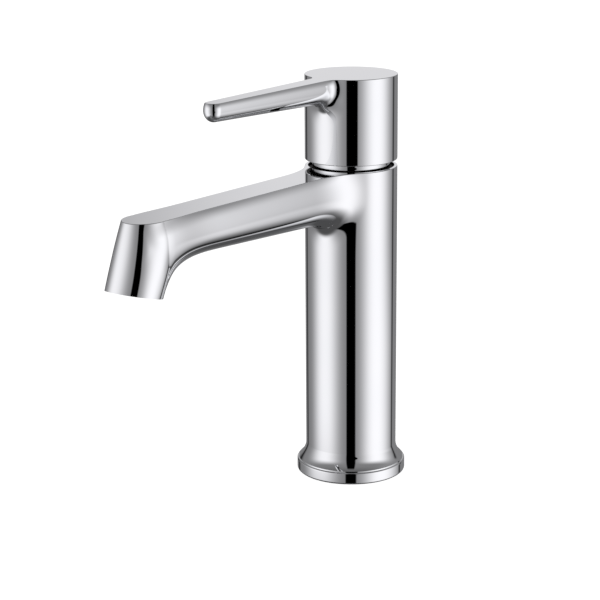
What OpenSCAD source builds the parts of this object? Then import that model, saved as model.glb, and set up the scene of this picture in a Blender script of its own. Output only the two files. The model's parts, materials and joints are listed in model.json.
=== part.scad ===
// Single-lever bathroom basin mixer with a horizontal spout and a 35 mm ceramic cartridge.
// Millimetres. The origin is the centre of the base on the deck, +Z is up.
// The spout and the lever point towards -Y, and the mixer is symmetric about X = 0.

/* [Column] */
// Outside diameter of the column and of the handle
body_d = 45; // [43:0.5:48]
// Height of the column's rim, which is also the spout's flat top
rim_z = 155.5; // [150:0.5:165]
// Diameter of the base flange
flange_d = 54; // [50:1:60]
// Height of the upright band round the base flange
flange_band = 6; // [4:0.5:8]
// Radius of the hollow that the supply hoses come up through
hose_hollow_r = 15.5; // [14:0.5:16.5]
// Height of the hollow's ceiling, which holds the supply ports
hollow_top = 92; // [70:1:100]

/* [Spout] */
// Distance from the column's axis to the centre of the outlet
reach = 156.5; // [130:0.5:180]
// Height of the centre of the outlet above the deck
outlet_z = 123.8; // [118:0.2:128]
// Forward lean of the outlet's axis
outlet_tilt = 14.8; // [8:0.2:20]
// Radius of the outlet's rim
outlet_r = 12.4; // [11.5:0.1:14]
// Half width of the flat top where the spout leaves the column
spout_half_w = 9.2; // [8:0.1:11]
// Widest half width of the spout where it leaves the column
spout_root_widest = 11.5; // [10:0.1:13]
// Depth of the spout where it leaves the column
spout_root_depth = 24.7; // [22:0.1:27]
// Depth of the spout just before the outlet
spout_tip_depth = 19.7; // [18:0.1:22]

/* [Handle] */
// Gap between the column's rim and the handle
handle_gap = 3.25; // [2.5:0.05:4.5]
// Height of the handle's flat top, which is also the lever's
handle_top = 200; // [192:0.5:210]
// Distance from the axis to the tip of the lever
lever_reach = 105.5; // [90:0.5:125]
// Half width of the lever's flat top at its root
lever_half_w = 4.9; // [4:0.1:6]
// Depth of the lever at its root
lever_root_depth = 11.5; // [10:0.1:13]
// Depth of the lever at its tip
lever_tip_depth = 8.8; // [7:0.1:9.5]
// How far the lever's flat top falls from its root to its tip
lever_fall = 0.6; // [0:0.1:1.5]
// Height of the pivot that the lever lifts about
pivot_z = 162; // [160:0.5:164]
// Largest lift of the lever
lift_max = 16; // [10:1:16]

/* [Cartridge] */
// Outside diameter of the ceramic cartridge
cartridge_d = 34.8; // [34:0.1:35]
// Radius of the rotor that carries the stem
rotor_r = 13; // [12:0.1:13.2]
// Radial running clearance of the rotor and of the pivot pin
running_gap = 0.05; // [0.03:0.01:0.08]
// Width of the stem across the lever
stem_w = 8; // [7:0.1:8.5]
// Thickness of the stem along the lever
stem_t = 7; // [6:0.1:7.5]

/* [Hidden] */
eps = 0.01;

chrome = "#d5d8dc";
brass = "#c9a24a";
steel = "#a9adb2";
rubber = "#26272a";
ceramic = "#e9e6df";
white_plastic = "#e4e6e8";
grey_plastic = "#9ba0a6";
red_plastic = "#b23a32";

body_r = body_d / 2;
flange_r = flange_d / 2;
// Concave flare between the column and the flange's top edge
flare_r = 10;
flare_reach = 3.6;
flare_drop = sqrt(flare_r * flare_r - (flare_r - flare_reach) * (flare_r - flare_reach));
band_round = 0.8;
foot_round = 1;

// Rounded tip of the spout's flat top, depth of its widest line, and the bend under it
tip_r = spout_half_w - 0.8;
tip_widest = spout_root_widest - 1.1;
widest_drop = 10.2;
tip_y = reach - 6;
bar_r = 10.7;
bend_r = 15;
bend_y = reach - 26;
bend_z = rim_z - spout_tip_depth - bend_r - 0.5;

// Heights in the cartridge chamber
chamber_floor = 134;
chamber_r = cartridge_d / 2 + 0.2;
shoulder_z = 148;
nut_r = chamber_r + 0.6;
counterbore_r = 19.05;
counterbore_z = 153.3;
trim_r = 19;
// Shadow groove round the trim ring
groove_r = 21;
groove_z = 154.1;
neck_r = 15.5;
neck_top = 166;
base_top = 138.2;
disc_z = 138.5;
disc_t = 3;
film = 0.02;
moving_z = disc_z + disc_t + film;
carrier_z = moving_z + disc_t;
ball_r = 3;
ball_z = 148;
rotor_bottom = 151.3;
rotor_flange_top = 154.3;
rotor_top = 167;

// Where the ports stand in the floor of the chamber and in the ceiling of the hollow
port_x = 7.6;
port_y = 3.5;
outlet_port_y = -8.5;
waterway_r = 4;
// M10 x 1 supply thread and M8 fixing thread, as tapping holes
supply_thread_r = 4.46;
supply_thread_len = 14;
stud_thread_r = 3.4;
stud_thread_len = 22;
stud_y = -9;

// Travel of the disc for the full lift
ball_arm = pivot_z - ball_z;
disc_travel = ball_arm * lift_max * PI / 180;
disc_rest_y = disc_travel / 2;

// Handle
handle_r = body_r;
handle_bottom = rim_z + handle_gap;
skirt_inner_r = 20.2;
ceiling_z = 191;
socket_bottom = 171;
socket_top = 187;
boss_r = 9.5;
screw_z = 179;
screw_r = 2.5;
plug_r = 3;

// Aerator, along the outlet's axis from its rim
aerator_r = 8.8;
aerator_depth = 13;

$fn = 96;

// Section of the spout or the lever: a flat top of half width w, and elliptical sides and
// underside that are widest at the given drop below the top
function arm_section(w, widest, drop, depth, steps = 24) =
    let (a = acos(w / widest), upper = drop / sin(a))
    concat([for (i = [0 : 5]) let (t = a * (1 - i / 5)) [widest * cos(t), upper * sin(t) - drop]],
           [for (i = [1 : steps - 1])
               let (t = -180 * i / steps)
               [widest * cos(t), (depth - drop) * sin(t) - drop]],
           [for (i = [0 : 5]) let (t = a * i / 5) [-widest * cos(t), upper * sin(t) - drop]]);

module arm_slice(reach_y, top_z, w, widest, drop, depth) {
    translate([0, -reach_y, top_z])
        rotate([90, 0, 0])
            linear_extrude(height = 2 * eps, center = true)
                polygon(arm_section(w, widest, drop, depth));
}

// Places its children on the outlet's axis, with z = 0 at the rim and +Z up into the spout
module at_outlet() {
    translate([0, -reach, outlet_z])
        rotate([-outlet_tilt, 0, 0])
            children();
}

module tube(outer, inner, z0, z1) {
    translate([0, 0, z0])
        difference() {
            cylinder(r = outer, h = z1 - z0);
            translate([0, 0, -1])
                cylinder(r = inner, h = z1 - z0 + 2);
        }
}

module o_ring(radius, thick, z) {
    translate([0, 0, z])
        rotate_extrude()
            translate([radius, 0])
                circle(r = thick / 2, $fn = 24);
}

// Column with its flared base flange, turned about Z
module column_solid() {
    flare_top = flange_band + flare_drop + 0.6;
    rotate_extrude()
        polygon(concat(
            [[0, 0]],
            [for (t = [0 : 15 : 90])
                [flange_r - foot_round * (1 - sin(t)), foot_round * (1 - cos(t))]],
            [[flange_r, flange_band - band_round]],
            [for (t = [10 : 20 : 90])
                [flange_r - band_round * (1 - cos(t)), flange_band - band_round * (1 - sin(t))]],
            [for (i = [0 : 12])
                let (s = asin(flare_drop / flare_r) * (1 - i / 12))
                [body_r + flare_r * (1 - cos(s)), flare_top - flare_r * sin(s)]],
            [[body_r, rim_z], [0, rim_z]]));
}

// Slices of the spout: its flared root in three steps, and the bar's two ends
module spout_slice(step) {
    root_y = 46;
    root_drop = widest_drop - 0.1;
    if (step == 0) arm_slice(14, rim_z, 15.5, 18.2, 13, 32);
    if (step == 1) arm_slice(22, rim_z, 12.4, 14.8, 11.4, 27.6);
    if (step == 2) arm_slice(30, rim_z, 10.3, 12.4, 10.6, spout_root_depth + 0.6);
    if (step == 3) arm_slice(root_y, rim_z, spout_half_w, spout_root_widest, root_drop,
                             spout_root_depth - 0.5);
    if (step == 4) arm_slice(tip_y, rim_z, tip_r, tip_widest, widest_drop, spout_tip_depth);
}

// Spout: the flared root, the long bar, the elbow and the outlet
module spout_solid() {
    for (step = [0 : 3])
        hull() {
            spout_slice(step);
            spout_slice(step + 1);
        }
    outlet_solid();
    elbow();
}

// Circle on the way from the spout's flat top (turn 0) to the outlet's rim (turn 1)
module outlet_ring(turn, radius) {
    hinge_y = reach + (rim_z - outlet_z) / tan(outlet_tilt);
    translate([0, -hinge_y, rim_z])
        rotate([-outlet_tilt * turn, 0, 0])
            translate([0, hinge_y - tip_y - 1.9 * turn, 0])
                cylinder(r = radius, h = 2 * eps, $fn = 64);
}

// Outlet: leaning circles that swell quickly below the flat top and then run down to the rim
module outlet_solid() {
    grow = outlet_r - tip_r;
    hull() {
        translate([0, 0, -2 * eps])
            outlet_ring(0, tip_r);
        outlet_ring(0.25, tip_r + grow * 0.41);
        outlet_ring(0.5, tip_r + grow * 0.7);
        outlet_ring(0.75, tip_r + grow * 0.9);
        at_outlet()
            cylinder(r = outlet_r, h = 2 * eps, $fn = 64);
    }
}

// Elbow: the spout's round underside turned about the bend, kept inside the outlet's outline
module elbow() {
    outline = concat([[45, -13]],
                     [for (t = [-90 : 6 : 90]) [bend_r + bar_r * (1 - cos(t)), bar_r * sin(t)]],
                     [[45, 13]]);
    intersection() {
        hull() {
            arm_slice(tip_y - 28, rim_z, spout_half_w - 0.6, tip_widest + 0.2, widest_drop,
                      spout_tip_depth + 0.8);
            outlet_ring(0.5, tip_r + (outlet_r - tip_r) * 0.7);
            at_outlet()
                cylinder(r = outlet_r - 0.2, h = 2 * eps, $fn = 64);
        }
        translate([0, -bend_y, bend_z])
            rotate([0, 90, 0])
                rotate([0, 0, 175])
                    rotate_extrude(angle = 95)
                        polygon(outline);
    }
}

// Waterways: two supply passages, the pocket under the outlet port, and the way out to the spout
module waterways() {
    for (side = [-1, 1])
        translate([side * port_x, port_y, hollow_top + supply_thread_len - 1])
            cylinder(r = waterway_r, h = chamber_floor - hollow_top);
    translate([0, outlet_port_y, chamber_floor - 12])
        cylinder(r = 4.5, h = 13);
    translate([0, -21.2, 132.5])
        rotate([45, 0, 0])
            translate([-7, -1.5, -11.5])
                cube([14, 3, 25]);
    channel_z = 145.3;
    translate([0, -27.5, channel_z])
        rotate([90, 0, 0])
            cylinder(r = 5, h = reach - 35);
    at_outlet()
        cylinder(r = aerator_r, h = aerator_depth);
    at_outlet()
        translate([0, 0, -1])
            cylinder(r = aerator_r + 1, h = 3);
    at_outlet()
        cylinder(r = 6.4, h = 22);
}

module body() {
    color(chrome)
        difference() {
            union() {
                column_solid();
                spout_solid();
            }
            translate([0, 0, -1])
                cylinder(r = hose_hollow_r, h = hollow_top + 1);
            for (side = [-1, 1])
                translate([side * port_x, port_y, hollow_top - 1])
                    cylinder(r = supply_thread_r, h = supply_thread_len + 1);
            translate([0, stud_y, hollow_top - 1])
                cylinder(r = stud_thread_r, h = stud_thread_len + 1);
            waterways();
            translate([0, 0, chamber_floor])
                cylinder(r = chamber_r, h = 60);
            translate([0, 0, shoulder_z - 0.5])
                cylinder(r = nut_r + 0.05, h = 60);
            translate([0, 0, counterbore_z])
                cylinder(r = counterbore_r, h = 60);
            translate([0, 0, groove_z])
                cylinder(r = groove_r, h = 60);
            gasket_ring(1);
        }
}

// Ring let into the underside of the flange; extra is how far it is cut below the deck
module gasket_ring(extra) {
    tube(flange_r - 2.4, flange_r - 5.6, -extra, 2);
}

module base_gasket() {
    color(rubber)
        gasket_ring(0);
}

// Seals round the three ports under the cartridge
module port_seals() {
    color(rubber)
        for (p = [[port_x, port_y, 5.4], [-port_x, port_y, 5.4], [0, outlet_port_y, 5.4]])
            translate([p[0], p[1], 0])
                tube(p[2], p[2] - 1.2, chamber_floor, chamber_floor + 1);
}

module cartridge_base() {
    color(grey_plastic)
        difference() {
            union() {
                translate([0, 0, chamber_floor])
                    cylinder(r = cartridge_d / 2, h = 2.2);
                translate([0, 0, chamber_floor])
                    cylinder(r = 15, h = base_top - chamber_floor);
            }
            for (p = [[port_x, port_y], [-port_x, port_y], [0, outlet_port_y]])
                translate([p[0], p[1], chamber_floor - 1]) {
                    cylinder(r = 3.4, h = 10);
                    cylinder(r = 5.4, h = 2);
                    translate([0, 0, base_top - chamber_floor - 0.2])
                        cylinder(r = 4.8, h = 4);
                }
        }
}

// Lip seals between the cartridge's base and the fixed disc
module disc_seals() {
    color(rubber)
        for (p = [[port_x, port_y], [-port_x, port_y], [0, outlet_port_y]])
            translate([p[0], p[1], 0])
                tube(4.8, 3.5, base_top - 1.2, disc_z);
}

module fixed_disc() {
    color(ceramic)
        difference() {
            translate([0, 0, disc_z])
                cylinder(r = 14.9, h = disc_t);
            for (p = [[port_x, port_y], [-port_x, port_y], [0, outlet_port_y]])
                translate([p[0], p[1], disc_z - 1])
                    cylinder(r = 3.4, h = disc_t + 2);
            for (side = [-1, 1])
                translate([side * 15.5, 0, disc_z - 1])
                    cylinder(r = 1.6, h = disc_t + 2);
        }
}

// Disc that slides and turns on the fixed one; its hollow joins the ports
module moving_disc() {
    color(ceramic)
        translate([0, disc_rest_y, 0])
            difference() {
                translate([0, 0, moving_z])
                    cylinder(r = 11.4, h = disc_t);
                translate([0, -1.5, moving_z - 1])
                    cylinder(r = 6.2, h = 2.6);
            }
}

module disc_carrier() {
    color(grey_plastic)
        translate([0, disc_rest_y, carrier_z])
            difference() {
                union() {
                    cylinder(r = 11.4, h = 3.2);
                    translate([-6, -8, 3])
                        cube([12, 16, 5.6]);
                }
                translate([0, -disc_rest_y, 0.4])
                    cylinder(r = ball_r + 0.2, h = 12);
                translate([-ball_r - 0.2, -disc_rest_y - 5, 5])
                    cube([2 * ball_r + 0.4, 10, 5]);
            }
}

module cartridge_housing() {
    color(white_plastic)
        difference() {
            union() {
                translate([0, 0, chamber_floor + 2.2])
                    cylinder(r = cartridge_d / 2, h = shoulder_z - chamber_floor - 2.2);
                translate([0, 0, shoulder_z - 1])
                    cylinder(r = neck_r, h = neck_top - shoulder_z + 1);
            }
            translate([0, 0, chamber_floor + 2])
                cylinder(r = 15, h = 10.8);
            translate([0, 0, chamber_floor + 3])
                cylinder(r = 14, h = rotor_flange_top + 0.2 - chamber_floor - 3);
            translate([0, 0, rotor_bottom])
                cylinder(r = rotor_r + running_gap, h = 20);
            tube(cartridge_d / 2 + 1, cartridge_d / 2 - 1, 141, 142.6);
        }
}

module housing_o_ring() {
    color(rubber)
        o_ring(cartridge_d / 2 - 0.4, 1.2, 141.8);
}

module cartridge_nut() {
    slot_w = 4;
    color(brass)
        difference() {
            tube(nut_r, neck_r + 0.3, shoulder_z, 155);
            for (a = [0 : 60 : 300])
                rotate([0, 0, a])
                    translate([neck_r - 1, -slot_w / 2, 153])
                        cube([5, slot_w, 4]);
        }
}

// Chromed cover over the nut: a straight ring below the pivot, a ball shape above it
module trim_ring() {
    wall = 0.75;
    roof_z = 167.8;
    color(chrome)
        difference() {
            union() {
                translate([0, 0, counterbore_z])
                    cylinder(r = trim_r, h = pivot_z - counterbore_z);
                intersection() {
                    translate([0, 0, pivot_z])
                        sphere(r = trim_r);
                    translate([-25, -25, pivot_z - 1])
                        cube([50, 50, roof_z - pivot_z + 1]);
                }
            }
            translate([0, 0, counterbore_z - 1])
                cylinder(r = trim_r - wall, h = pivot_z - counterbore_z + 1);
            intersection() {
                translate([0, 0, pivot_z])
                    sphere(r = trim_r - wall);
                translate([-25, -25, pivot_z - 1])
                    cube([50, 50, roof_z - pivot_z - 0.3]);
            }
            translate([0, 0, pivot_z])
                cylinder(r = 14, h = 20);
        }
}

module trim_o_ring() {
    color(rubber)
        tube(trim_r - 0.9, nut_r - 0.6, 155.2, 156.4);
}

// Splined ring that stops the rotor short of full hot
module limit_ring() {
    color(red_plastic)
        difference() {
            union() {
                tube(neck_r + 1.6, neck_r, 158, 160.5);
                for (a = [0 : 30 : 330])
                    rotate([0, 0, a])
                        translate([neck_r + 1.2, -0.7, 158])
                            cube([1, 1.4, 2.5]);
            }
            translate([-2, neck_r - 1, 157])
                cube([4, 5, 5]);
        }
}

// Low-friction washer between the rotor's flange and the shoulder of the housing
module slide_ring() {
    color(white_plastic)
        tube(13.7, rotor_r + 0.15, rotor_flange_top - 0.55, rotor_flange_top + 0.1);
}

module rotor() {
    color(grey_plastic)
        difference() {
            union() {
                translate([0, 0, rotor_bottom])
                    cylinder(r = rotor_r, h = rotor_top - rotor_bottom);
                translate([0, 0, rotor_bottom])
                    cylinder(r = 13.7, h = rotor_flange_top - rotor_bottom - 0.6);
            }
            translate([-stem_w / 2 - 0.15, -7, rotor_bottom - 1])
                cube([stem_w + 0.3, 14, 20]);
            translate([-6.15, -15, rotor_bottom - 1])
                cube([12.3, 30, 3.2]);
            translate([-15, 0, pivot_z])
                rotate([0, 90, 0])
                    cylinder(r = 1.5, h = 30);
        }
}

module pivot_pin() {
    color(steel)
        translate([-11.5, 0, pivot_z])
            rotate([0, 90, 0])
                cylinder(r = 1.5, h = 23);
}

// Square stem with a round leg and a ball that drives the disc carrier
module stem() {
    neck = 2.3;
    color(steel)
        difference() {
            union() {
                translate([-stem_w / 2, -stem_t / 2, pivot_z - 6])
                    cube([stem_w, stem_t, socket_top - 0.5 - pivot_z + 6]);
                translate([0, 0, ball_z])
                    cylinder(r = neck, h = pivot_z - ball_z - 5);
                translate([0, 0, ball_z])
                    sphere(r = ball_r);
            }
            translate([-10, 0, pivot_z])
                rotate([0, 90, 0])
                    cylinder(r = 1.5 + running_gap, h = 20);
        }
}

// Lever: a slim bar that falls gently from the handle's flat top, and its flared root
module lever_solid() {
    end_r = lever_half_w - 1.1;
    end_y = lever_reach - end_r;
    round_r = 3.6;
    drop = 4.5;
    hull() {
        arm_slice(15, handle_top, 12.8, 14.6, 7.5, lever_root_depth + 5.5);
        arm_slice(22.5, handle_top, 8.2, 9.8, 5.6, lever_root_depth + 1.6);
    }
    hull() {
        arm_slice(22.5, handle_top, 8.2, 9.8, 5.6, lever_root_depth + 1.6);
        arm_slice(30, handle_top, 5.4, 6.6, drop + 0.2, lever_root_depth + 0.2);
    }
    hull() {
        arm_slice(30, handle_top, 5.4, 6.6, drop + 0.2, lever_root_depth + 0.2);
        arm_slice(end_y, handle_top - lever_fall, end_r, end_r + 0.8, drop - 1, lever_tip_depth);
        translate([0, -end_y, handle_top - lever_fall - 2 * eps])
            cylinder(r = end_r, h = 2 * eps, $fn = 48);
        translate([0, round_r - lever_reach, handle_top - lever_fall - drop + 0.4])
            sphere(r = round_r, $fn = 32);
    }
}

// Relief across the back of the skirt, so that the handle can tip back over the rim
module back_relief() {
    translate([0, 0, pivot_z])
        rotate([lift_max, 0, 0])
            translate([-40, 0, rim_z + 0.25 - pivot_z - 40])
                cube([80, 60, 40]);
}

module handle() {
    color(chrome)
        difference() {
            union() {
                difference() {
                    union() {
                        translate([0, 0, handle_bottom])
                            cylinder(r = handle_r, h = handle_top - handle_bottom);
                        lever_solid();
                    }
                    translate([0, 0, handle_bottom - 1])
                        cylinder(r = skirt_inner_r, h = ceiling_z - handle_bottom + 1);
                }
                translate([0, 0, socket_bottom])
                    cylinder(r = boss_r, h = ceiling_z - socket_bottom + 1);
            }
            translate([-stem_w / 2, -stem_t / 2, socket_bottom - 1])
                cube([stem_w, stem_t, socket_top - socket_bottom + 1]);
            translate([0, 0, screw_z])
                rotate([-90, 0, 0])
                    cylinder(r = screw_r, h = 15);
            translate([0, 15, screw_z])
                rotate([-90, 0, 0])
                    cylinder(r = plug_r, h = 15);
            back_relief();
        }
}

module set_screw() {
    color(steel)
        difference() {
            translate([0, stem_t / 2, screw_z])
                rotate([-90, 0, 0])
                    cylinder(r = screw_r, h = 6.5);
            translate([0, stem_t / 2 + 3, screw_z])
                rotate([-90, 0, 0])
                    cylinder(r = 1.44, h = 8, $fn = 6);
        }
}

module index_plug() {
    color(grey_plastic)
        intersection() {
            translate([0, 15, screw_z])
                rotate([-90, 0, 0])
                    cylinder(r = plug_r, h = 15);
            tube(handle_r, skirt_inner_r - 0.8, screw_z - 5, screw_z + 5);
        }
}

module aerator_shell() {
    slot_w = 3;
    color(grey_plastic)
        at_outlet()
            difference() {
                tube(aerator_r, aerator_r - 1.3, 2.5, 11);
                for (a = [0 : 90 : 270])
                    rotate([0, 0, a])
                        translate([aerator_r - 3, -slot_w / 2, 1])
                            cube([5, slot_w, 3]);
            }
}

// Fine screen across the outlet, with its holes in rings
module aerator_screen() {
    color(steel)
        at_outlet()
            difference() {
                translate([0, 0, 4.4])
                    cylinder(r = aerator_r - 1.3, h = 0.6);
                for (ring = [1 : 3])
                    for (a = [0 : 60 / ring : 359])
                        rotate([0, 0, a])
                            translate([ring * 2.1, 0, 4])
                                cylinder(r = 0.6, h = 2, $fn = 16);
            }
}

module flow_insert() {
    color(white_plastic)
        at_outlet()
            difference() {
                union() {
                    translate([0, 0, 5.4])
                        cylinder(r = aerator_r - 1.3, h = 1.6);
                    translate([0, 0, 7])
                        cylinder(r1 = aerator_r - 2, r2 = 5.4, h = 3);
                }
                for (a = [0 : 30 : 330])
                    rotate([0, 0, a])
                        translate([4.6, 0, 5])
                            cylinder(r = 0.7, h = 6);
            }
}

// Ring that narrows as the pressure rises, so the flow stays even
module flow_regulator() {
    color(rubber)
        at_outlet()
            o_ring(3.1, 1.4, 10.7);
}

module aerator_washer() {
    color(rubber)
        at_outlet()
            tube(aerator_r, 6.4, 11, aerator_depth);
}

body();
base_gasket();
port_seals();
cartridge_base();
disc_seals();
fixed_disc();
cartridge_housing();
housing_o_ring();
cartridge_nut();
trim_ring();
trim_o_ring();
limit_ring();
slide_ring();
rotor();
pivot_pin();
moving_disc();
disc_carrier();
stem();
handle();
set_screw();
index_plug();
aerator_shell();
aerator_screen();
flow_insert();
flow_regulator();
aerator_washer();
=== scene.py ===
"""Looks of the basin mixer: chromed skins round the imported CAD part, a plain floor and soft studio light.

Shapes are worked out in millimetres and stored in metres. The spout and the lever point towards -Y.
The skins are level surfaces of distance fields, so that every fillet is one continuous curve.
"""

import json
import math

import bmesh
import bpy
import numpy as np
from mathutils import Matrix, Vector
from mathutils.geometry import tessellate_polygon


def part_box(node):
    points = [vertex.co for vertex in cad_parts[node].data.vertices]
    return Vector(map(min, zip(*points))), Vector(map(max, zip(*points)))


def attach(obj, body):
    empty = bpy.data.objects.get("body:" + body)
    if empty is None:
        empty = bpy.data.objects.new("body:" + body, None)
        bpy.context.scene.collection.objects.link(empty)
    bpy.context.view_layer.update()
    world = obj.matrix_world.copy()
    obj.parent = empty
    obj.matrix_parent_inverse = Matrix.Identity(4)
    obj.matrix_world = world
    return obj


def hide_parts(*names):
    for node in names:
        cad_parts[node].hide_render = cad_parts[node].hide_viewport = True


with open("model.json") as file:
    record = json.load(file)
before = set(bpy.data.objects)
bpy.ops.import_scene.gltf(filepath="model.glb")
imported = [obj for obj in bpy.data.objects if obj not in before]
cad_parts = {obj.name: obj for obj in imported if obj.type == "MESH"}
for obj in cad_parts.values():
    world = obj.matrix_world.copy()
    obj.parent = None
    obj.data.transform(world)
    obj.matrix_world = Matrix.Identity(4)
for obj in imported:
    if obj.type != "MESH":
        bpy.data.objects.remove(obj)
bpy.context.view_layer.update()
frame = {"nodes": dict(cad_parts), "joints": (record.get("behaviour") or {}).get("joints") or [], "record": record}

MM = 0.001

# ---------------------------------------------------------------- sizes, in mm


def mm_box(node):
    low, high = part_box(node)
    return np.array(low) / MM, np.array(high) / MM


BODY_LOW, BODY_HIGH = mm_box("body")
HANDLE_LOW, HANDLE_HIGH = mm_box("handle")
RIM = BODY_HIGH[2]
TOP = HANDLE_HIGH[2]
RADIUS = HANDLE_HIGH[1]
FLANGE_R = BODY_HIGH[0]
SKIRT_BOTTOM = HANDLE_LOW[2]
LEVER_REACH = -HANDLE_LOW[1]
PIVOT_Z = next(j for j in frame["joints"] if j["name"] == "flow")["pos_m"][2] / MM

# spout and outlet
REACH = 156.5
OUTLET_Z = 123.8
OUTLET_R = 12.4
OUTLET_TILT = math.radians(14.8)
TIP_Y = REACH - 6
HINGE_Y = REACH + (RIM - OUTLET_Z) / math.tan(OUTLET_TILT)
OUTLET_SWELL = 2.1
OUTLET_EASE = 0.75
OUTLET_SHIFT = 1.9
OUTLET_TURNS = (-0.3, 1.2)
FIELD_SCALE = 0.95

# the bars of the spout and the lever: pairs run from the root to the tip
ROOT_V = 30
ARM_START = 5
BAR_SHORT = 4.5
SPOUT_HALF_W = (9.2, 8.4)
SPOUT_WIDEST = (11.4, 11.1)
SPOUT_DROP = (10.03, 10.39)
SPOUT_DEPTH = (24.74, 19.68)
LEVER_HALF_W = (4.9, 3.8)
LEVER_END = LEVER_REACH - LEVER_HALF_W[1]
LEVER_WIDEST = (6.0, 4.6)
LEVER_DROP = (4.5, 3.5)
LEVER_DEPTH = (11.5, 8.8)
LEVER_FALL = 0.6

# fillets: the smallest radius, what it gains higher up, and how closely it follows the angle
ELBOW_BLEND = 24
ELBOW_SOFTEN = 4.5
ROOT_FILLET = (9.5, 10.5, 0.76)
LEVER_FILLET = (4.9, 3.5, 0.75)

# groove, counterbore, nut thread and cartridge chamber in the top of the column
GROOVE_R = 21
GROOVE_Z = 154.1
COUNTERBORE_R = 19.05
COUNTERBORE_Z = 153.3
NUT_R = 18.25
NUT_Z = 147.5
CHAMBER_R = 17.6
CHAMBER_FLOOR = 134
CHAMBER_PORTS = [(7.6, 3.5, 4, 20), (-7.6, 3.5, 4, 20), (0, -8.5, 4.5, 12)]

# bore that holds the aerator, and the waterway above it
MOUTH_R = 9.8
MOUTH_CHAMFER = 0.15
MOUTH_DEPTH = 2
AERATOR_R = 8.8
AERATOR_DEPTH = 13
WATERWAY_R = 6.4
WATERWAY_DEPTH = 22

# base: flange, flare, gasket groove and supply hollow
FLANGE_BAND = 6
FLARE_R = 10
FLARE_REACH = 3.6
FLARE_LIFT = 0.6
LIP_ROUND = 0.8
FOOT_ROUND = 1.0
GASKET_R = (24.6, 21.4)
GASKET_DEPTH = 2
HOLLOW_R = 15.5
HOLLOW_CHAMFER = 0.4
HOLLOW_MIDDLE = 45
HOLLOW_TOP = 92
HOLLOW_PORTS = [(7.6, 3.5, 4.46, 14), (-7.6, 3.5, 4.46, 14), (0, -9, 3.4, 22)]

# inside of the handle: skirt, ceiling, and the boss with its socket for the stem
LIFT_MAX = math.radians(16)
SKIRT_GAP = 0.25
SKIRT_ROUND = 0.4
SKIRT_INNER_R = 20.2
CEILING_Z = 191
BOSS_R = 9.5
BOSS_Z = 171
SOCKET_HALF = (4, 3.5)
SOCKET_TOP = 187

# how finely the skins are made
EDGE = 0.35
BODY_STEP = 0.9
BODY_SKIN_LOW = 90.0
HANDLE_STEP = 0.7
HANDLE_SKIN_LOW = 173.0
SEGMENTS = 120
PORT_SEGMENTS = 32

# ---------------------------------------------------------------- distance fields


def smoothstep(t):
    t = np.clip(t, 0, 1)
    return t * t * (3 - 2 * t)


def dot(a, b):
    return sum(p * q for p, q in zip(a, b))


def fillet(a, b, radius, facing, power, more=0.0):
    """Joins two fields with a fillet; facing is the cosine between their normals."""
    reach = np.maximum(1.5 * (radius * np.maximum(1 - facing, 1e-9) ** power + more), 1e-6)
    overlap = np.maximum(reach - np.abs(a - b), 0)
    return np.minimum(a, b) - overlap ** 3 / (6 * reach * reach)


def arm(x, v, z, end, half_w, widest, drop, depth, top):
    """Field and normal of a bar along v: flat top, elliptical sides and underside, turned end."""
    past = np.maximum(v - end, 0)
    out = np.maximum(np.hypot(x, past), 1e-6)
    up = z - (top - drop)
    tall = np.where(up > 0, drop / np.sqrt(1 - (half_w / widest) ** 2), depth - drop)
    px, pz = out / widest, up / tall
    reach = np.maximum(np.hypot(px, pz), 1e-6)
    qx, qz = px / widest, pz / tall
    steep = np.maximum(np.hypot(qx, qz), 1e-6)
    n_out = qx / steep
    field = reach * (reach - 1) / steep
    return field + np.maximum(ARM_START - v, 0), (n_out * x / out, n_out * past / out, qz / steep)


def outlet(x, v, z):
    """Field and normal of the outlet: circles that lean more and more from flat top to rim."""
    away = np.maximum(np.hypot(HINGE_Y - v, RIM - z), 1e-6)
    turn = np.clip(np.arctan2(RIM - z, HINGE_Y - v) / OUTLET_TILT, *OUTLET_TURNS)
    centre = HINGE_Y - TIP_Y - OUTLET_SHIFT * turn
    bend = OUTLET_SWELL - OUTLET_EASE
    grown = OUTLET_SWELL * turn - bend * turn ** 2 + (1 - OUTLET_EASE) * turn ** 3
    radius = SPOUT_HALF_W[1] + (OUTLET_R - SPOUT_HALF_W[1]) * grown
    inwards = away - centre
    out = np.maximum(np.hypot(x, inwards), 1e-6)
    slope = inwards / out
    normal = (x / out, -inwards / out * (HINGE_Y - v) / away, slope * (z - RIM) / away)
    return (out - radius) * FIELD_SCALE, normal


def along(pair, t):
    """A value part of the way from the root to the tip."""
    return pair[0] + (pair[1] - pair[0]) * t


def body_field(x, y, z):
    v = -y
    t = np.clip((v - ROOT_V) / (TIP_Y - ROOT_V), -0.25, 1)
    bar, n_bar = arm(x, v, z, TIP_Y - BAR_SHORT, along(SPOUT_HALF_W, t), along(SPOUT_WIDEST, t),
                     along(SPOUT_DROP, t), along(SPOUT_DEPTH, t), RIM)
    nose, n_nose = outlet(x, v, z)
    # softer under the spout; the root's fillet grows towards the rim
    soften = ELBOW_SOFTEN * smoothstep((160 - v) / 18) * smoothstep((RIM + 1 - z) / 10)
    spout = fillet(bar, nose, ELBOW_BLEND, dot(n_bar, n_nose), 1.0, soften)
    n_spout = [np.where(bar < nose, p, q) for p, q in zip(n_bar, n_nose)]
    r = np.maximum(np.hypot(x, y), 1e-6)
    least, gain, power = ROOT_FILLET
    radius = least + gain * smoothstep((z - 128) / 14)
    return fillet(spout, r - RADIUS, radius, dot(n_spout, (x / r, v / r, 0)), power)


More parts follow.
